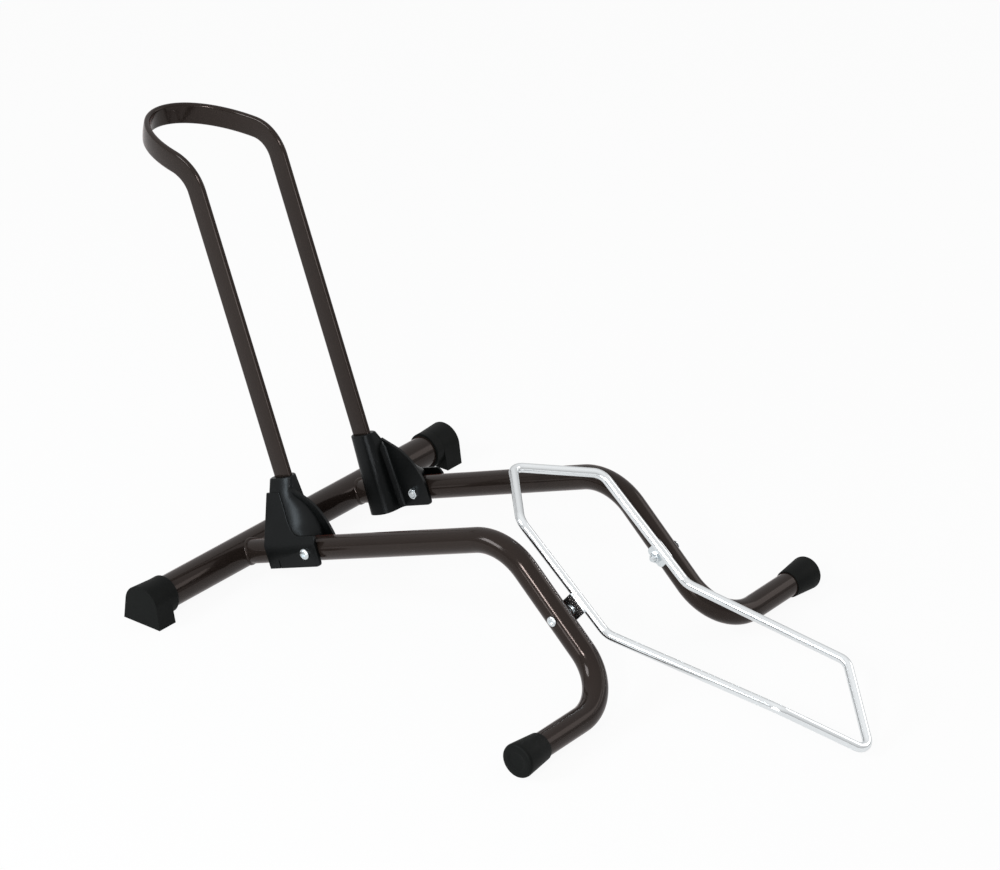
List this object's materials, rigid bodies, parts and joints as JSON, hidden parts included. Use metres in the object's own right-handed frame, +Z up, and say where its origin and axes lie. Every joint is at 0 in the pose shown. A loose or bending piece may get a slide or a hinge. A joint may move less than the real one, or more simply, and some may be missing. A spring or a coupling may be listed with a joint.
{
  "type": "bicycle wheel stand",
  "caption": "Tubular floor stand for a bicycle wheel: a flat oval hoop leans back in plastic brackets and a bent wire rocker pivots between the side tubes.",
  "frame": {"origin": "on the floor, under the middle of the stand's whole length and on its middle plane", "axes": "+X from the hoop towards the side where the wheel rolls in, +Y across the stand along the crossbar, +Z up from the floor"},
  "size_m": [0.8947, 0.4792, 0.4374],
  "materials": {
    "painted_tube": "gloss brown-black powder coat",
    "bracket_plastic": "satin moulded black",
    "rubber_end": "matt black",
    "bright_wire": "bright plated",
    "zinc_hardware": "zinc plated"
  },
  "bodies": {
    "frame": {"crossbar": "painted_tube", "side_tube_near": "painted_tube", "side_tube_far": "painted_tube", "hoop": "painted_tube", "rear_foot_near": "rubber_end", "rear_foot_far": "rubber_end", "front_cap_near": "rubber_end", "front_cap_far": "rubber_end", "hoop_bracket_near": "bracket_plastic", "hoop_bracket_far": "bracket_plastic", "bracket_bolt_near": "zinc_hardware", "bracket_bolt_far": "zinc_hardware", "bracket_nut_near": "zinc_hardware", "bracket_nut_far": "zinc_hardware", "pivot_bolt_near": "zinc_hardware", "pivot_bolt_far": "zinc_hardware", "pivot_nut_near": "zinc_hardware", "pivot_nut_far": "zinc_hardware", "pivot_washer_near": "zinc_hardware", "pivot_washer_far": "zinc_hardware"},
    "rocker": {"rocker_wire": "bright_wire", "pivot_tab_near": "zinc_hardware", "pivot_tab_far": "zinc_hardware"}
  },
  "joints": [
    {"name": "rocker_pivot", "type": "hinge", "parent": "frame", "child": "rocker", "pos_m": [0.14626, 0, 0.08308], "axis": [0, -1, 0], "range_deg": [0, 65]}
  ]
}
